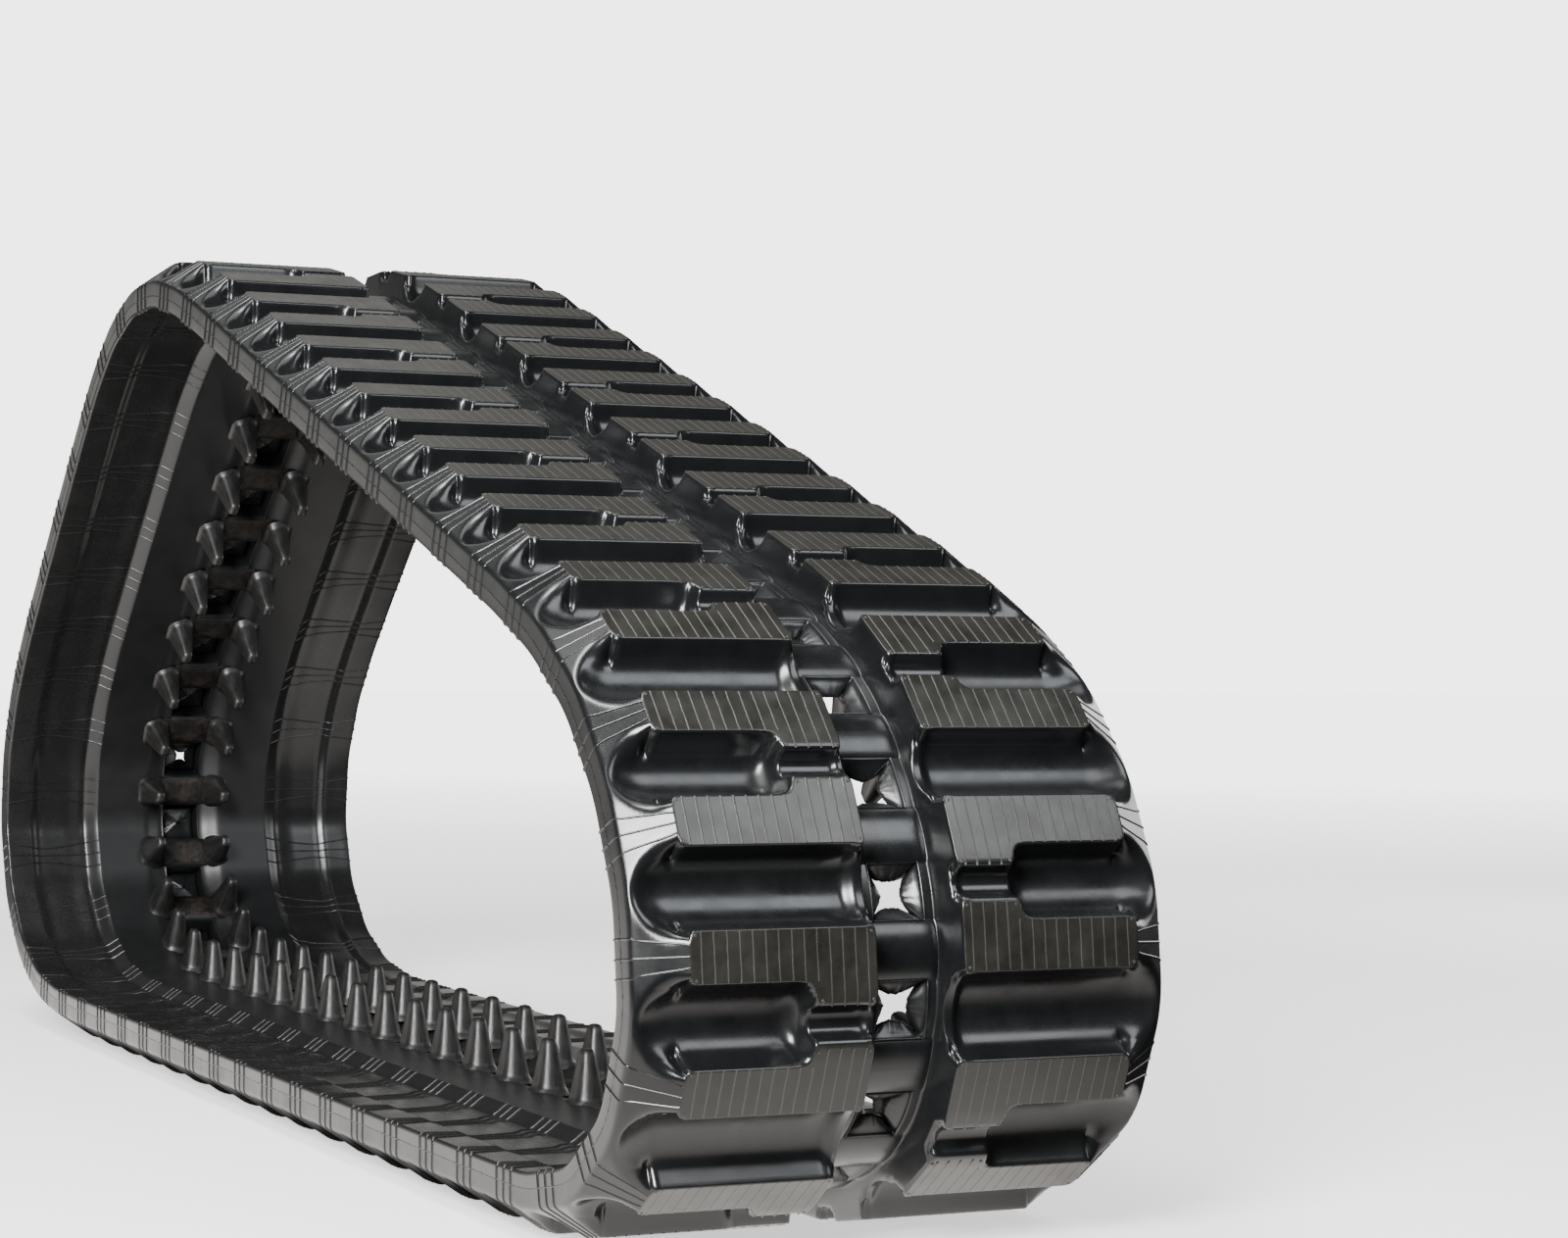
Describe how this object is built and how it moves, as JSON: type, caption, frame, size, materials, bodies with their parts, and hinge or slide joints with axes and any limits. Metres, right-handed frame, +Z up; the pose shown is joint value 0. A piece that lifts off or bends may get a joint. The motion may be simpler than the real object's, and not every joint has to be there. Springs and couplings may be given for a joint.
{
  "type": "rubber track",
  "caption": "Endless rubber track for a compact loader, standing free as a loop, with paired L-shaped lugs outside, and steel cores, sprocket windows and twin guide horns inside.",
  "frame": {"origin": "centre of the footprint on the ground under the bottom run's lugs", "axes": "+X along the loop towards its broad front bend, +Y across the belt, +Z up"},
  "size_m": [1.9758, 0.45, 0.8704],
  "materials": {
    "tread_rubber": "moulded black rubber, semi-gloss on the sides and grooves, duller on the lug tops",
    "carcass_rubber": "smooth glossy moulded black rubber",
    "cord_ply": "rubber-coated steel cord ply",
    "core_steel": "forged steel, dark scale with a brown rust tint"
  },
  "bodies": {
    "bottom_run": {"carcass_rubber": "carcass_rubber", "cord_ply_left": "cord_ply", "cord_ply_right": "cord_ply", "tread_rubber_left": "tread_rubber", "tread_rubber_right": "tread_rubber", "core_bar_21": "core_steel", "core_bar_22": "core_steel", "core_bar_23": "core_steel", "core_bar_24": "core_steel", "core_bar_25": "core_steel", "core_bar_26": "core_steel", "core_bar_27": "core_steel", "core_bar_28": "core_steel", "core_bar_29": "core_steel", "core_bar_30": "core_steel", "core_bar_31": "core_steel", "core_bar_32": "core_steel", "core_bar_33": "core_steel", "core_bar_34": "core_steel", "core_bar_35": "core_steel", "core_bar_36": "core_steel", "core_bar_37": "core_steel", "core_bar_38": "core_steel", "core_bar_39": "core_steel"},
    "rear_lower": {"core_bar_40": "core_steel", "core_bar_41": "core_steel", "core_bar_42": "core_steel"},
    "rear_wall": {"core_bar_43": "core_steel", "core_bar_44": "core_steel", "core_bar_45": "core_steel", "core_bar_46": "core_steel", "core_bar_47": "core_steel", "core_bar_48": "core_steel", "core_bar_49": "core_steel", "core_bar_50": "core_steel", "core_bar_51": "core_steel", "core_bar_52": "core_steel"},
    "top_run": {"core_bar_01": "core_steel", "core_bar_02": "core_steel", "core_bar_03": "core_steel", "core_bar_04": "core_steel", "core_bar_05": "core_steel", "core_bar_06": "core_steel", "core_bar_07": "core_steel"},
    "front_lower": {"core_bar_17": "core_steel", "core_bar_18": "core_steel", "core_bar_19": "core_steel", "core_bar_20": "core_steel"},
    "front_upper": {"core_bar_08": "core_steel", "core_bar_09": "core_steel", "core_bar_10": "core_steel", "core_bar_11": "core_steel", "core_bar_12": "core_steel", "core_bar_13": "core_steel", "core_bar_14": "core_steel", "core_bar_15": "core_steel", "core_bar_16": "core_steel"}
  },
  "joints": [
    {"name": "rear_lower_flex", "type": "hinge", "parent": "bottom_run", "child": "rear_lower", "pos_m": [-0.7819, 0, 0.05623], "axis": [0, -1, 0], "range_deg": [-5.63, 5.63], "stiffness_Nm_per_rad": 2000, "springref_deg": -3.75, "deforming": ["carcass_rubber", "cord_ply_left", "cord_ply_right", "tread_rubber_left", "tread_rubber_right"]},
    {"name": "rear_wall_flex", "type": "hinge", "parent": "rear_lower", "child": "rear_wall", "pos_m": [-0.94964, 0, 0.23446], "axis": [0, -1, 0], "range_deg": [-8.33, 8.33]},
    {"name": "top_run_flex", "type": "hinge", "parent": "rear_wall", "child": "top_run", "pos_m": [-0.371, 0, 0.82682], "axis": [0, -1, 0], "range_deg": [-3.92, 3.92]},
    {"name": "front_lower_flex", "type": "hinge", "parent": "bottom_run", "child": "front_lower", "pos_m": [0.85007, 0, 0.05873], "axis": [0, -1, 0], "range_deg": [-4.96, 4.96]},
    {"name": "front_upper_flex", "type": "hinge", "parent": "front_lower", "child": "front_upper", "pos_m": [0.9018, 0, 0.35651], "axis": [0, -1, 0], "range_deg": [-7.17, 7.17]}
  ],
  "couplings": [
    {"joint": "rear_wall_flex", "follows": "rear_lower_flex", "ratio": -1.476},
    {"joint": "top_run_flex", "follows": "rear_lower_flex", "ratio": 0.69272},
    {"joint": "front_lower_flex", "follows": "rear_lower_flex", "ratio": -0.87744},
    {"joint": "front_upper_flex", "follows": "rear_lower_flex", "ratio": 1.27}
  ]
}
